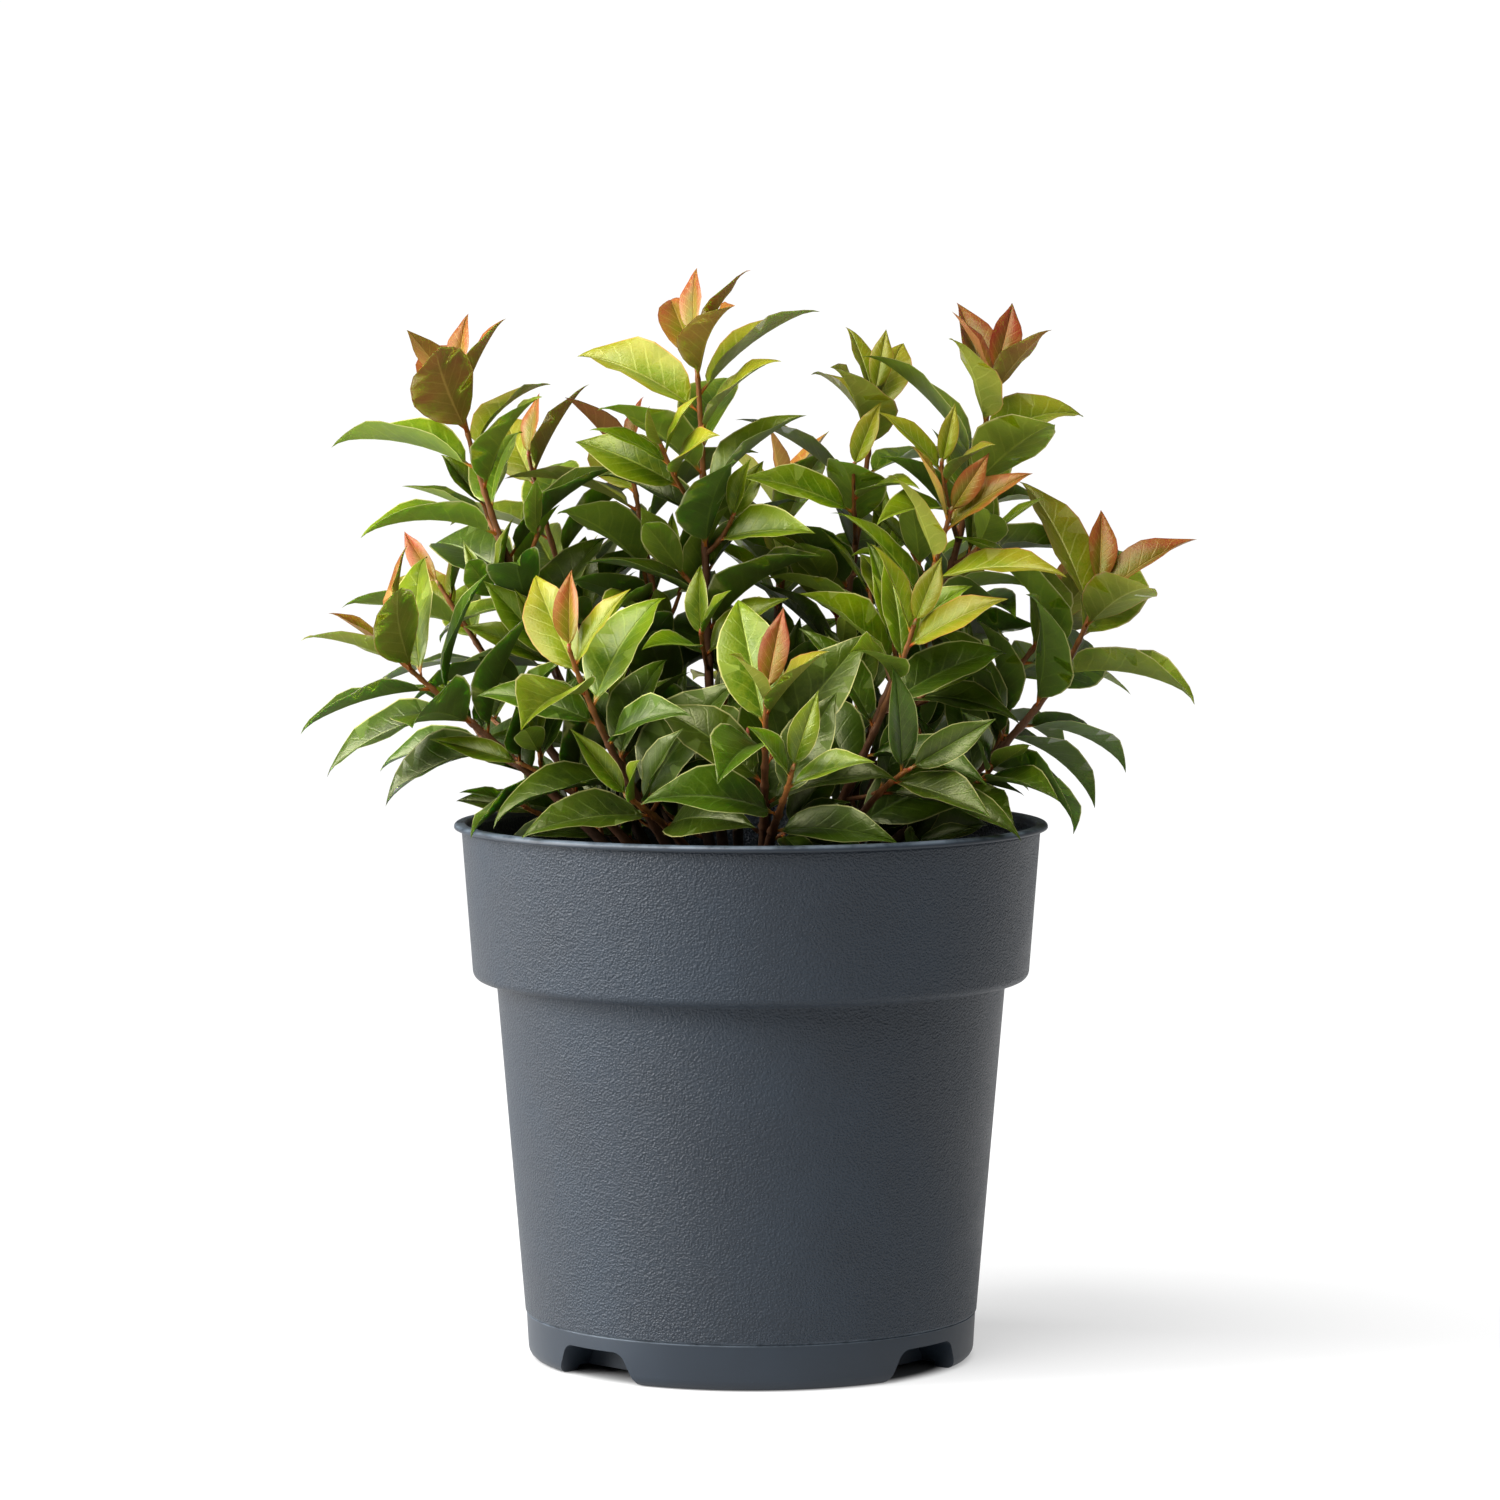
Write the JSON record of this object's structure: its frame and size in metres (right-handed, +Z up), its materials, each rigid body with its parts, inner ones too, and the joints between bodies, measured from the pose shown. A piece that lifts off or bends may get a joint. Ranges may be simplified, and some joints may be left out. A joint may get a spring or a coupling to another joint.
{
  "type": "potted coast leucothoe",
  "caption": "Evergreen shrub with arching leafy stems and bronze young shoot tips, rooted in soil in a round dark grey nursery pot with drain notches in its foot.",
  "frame": {"origin": "centre of the pot's flat underside, where it stands", "axes": "+Z up through the pot and the crown, -Y towards the front that the picture shows, +X to its right"},
  "size_m": [0.3153, 0.2459, 0.3858],
  "materials": {
    "pot": "leather-grained moulded plastic, dark slate grey",
    "soil": "dark moist peat with small lumps",
    "cane": "smooth reddish brown bark",
    "foliage": "satin green leaves, bronze at the shoot tips"
  },
  "bodies": {
    "root": {"pot": "pot", "soil": "soil", "cane_crest": "cane", "foliage_crest": "foliage", "cane_top_right": "cane", "foliage_top_right": "foliage", "cane_top_left": "cane", "foliage_top_left": "foliage", "cane_upper_right": "cane", "foliage_upper_right": "foliage", "cane_far_right": "cane", "foliage_far_right": "foliage", "cane_far_left": "cane", "foliage_far_left": "foliage", "cane_low_left": "cane", "foliage_low_left": "foliage", "cane_front": "cane", "foliage_front": "foliage", "cane_front_left": "cane", "foliage_front_left": "foliage", "cane_front_right": "cane", "foliage_front_right": "foliage", "cane_bronze": "cane", "foliage_bronze": "foliage", "cane_low_right": "cane", "foliage_low_right": "foliage", "cane_low_front_left": "cane", "foliage_low_front_left": "foliage", "cane_low_front": "cane", "foliage_low_front": "foliage", "cane_inner_left": "cane", "foliage_inner_left": "foliage", "cane_upper_left": "cane", "foliage_upper_left": "foliage", "cane_back": "cane", "foliage_back": "foliage", "cane_back_right": "cane", "foliage_back_right": "foliage", "cane_back_left": "cane", "foliage_back_left": "foliage", "cane_side_right": "cane", "foliage_side_right": "foliage", "cane_side_left": "cane", "foliage_side_left": "foliage", "cane_low_back": "cane", "foliage_low_back": "foliage"}
  },
  "joints": []
}
